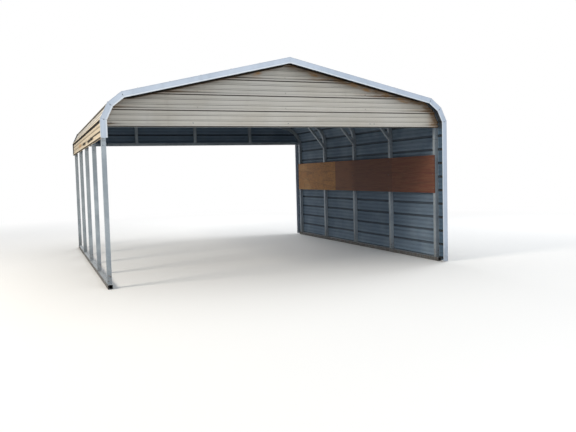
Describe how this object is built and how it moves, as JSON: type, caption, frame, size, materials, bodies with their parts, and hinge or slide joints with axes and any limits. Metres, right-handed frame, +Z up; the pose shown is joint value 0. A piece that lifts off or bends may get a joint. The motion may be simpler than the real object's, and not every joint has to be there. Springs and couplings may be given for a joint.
{
  "type": "tube steel carport with one closed side and gable ends",
  "caption": "Tube steel carport: bows on posts and ground rails, ribbed sheet roof with turned-down eaves, one closed side, gables and edge trim.",
  "frame": {"origin": "on the ground, at the middle of the carport's plan", "axes": "+X to the closed side, +Y from the front gable to the rear, +Z up"},
  "size_m": [5.5314, 6.4034, 3.2742],
  "materials": {
    "galvanised_tube": "dull zinc coat",
    "painted_sheet": "satin beige paint",
    "white_trim": "satin white paint",
    "board": "raw, red-brown"
  },
  "bodies": {
    "root": {"base_rail_left": "galvanised_tube", "post_left_1": "galvanised_tube", "post_left_2": "galvanised_tube", "post_left_3": "galvanised_tube", "post_left_4": "galvanised_tube", "post_left_5": "galvanised_tube", "base_rail_right": "galvanised_tube", "post_right_1": "galvanised_tube", "post_right_2": "galvanised_tube", "post_right_3": "galvanised_tube", "post_right_4": "galvanised_tube", "post_right_5": "galvanised_tube", "rail_sleeves": "galvanised_tube", "bow_sleeves": "galvanised_tube", "bow_1": "galvanised_tube", "bow_2": "galvanised_tube", "bow_3": "galvanised_tube", "bow_4": "galvanised_tube", "bow_5": "galvanised_tube", "knee_braces_left": "galvanised_tube", "knee_braces_right": "galvanised_tube", "peak_braces": "galvanised_tube", "header_front": "galvanised_tube", "gable_studs_front": "galvanised_tube", "gable_sheet_front": "painted_sheet", "header_rear": "galvanised_tube", "gable_studs_rear": "galvanised_tube", "gable_sheet_rear": "painted_sheet", "trim_front_left": "white_trim", "trim_rear_left": "white_trim", "roof_sheet_left_1": "painted_sheet", "roof_sheet_left_2": "painted_sheet", "roof_sheet_left_3": "painted_sheet", "roof_sheet_left_4": "painted_sheet", "trim_front_right": "white_trim", "trim_rear_right": "white_trim", "roof_sheet_right_1": "painted_sheet", "roof_sheet_right_2": "painted_sheet", "roof_sheet_right_3": "painted_sheet", "roof_sheet_right_4": "painted_sheet", "wall_sheet_1": "painted_sheet", "wall_sheet_2": "painted_sheet", "wall_sheet_3": "painted_sheet", "ridge_cap": "painted_sheet", "wall_boards": "board"}
  },
  "joints": []
}
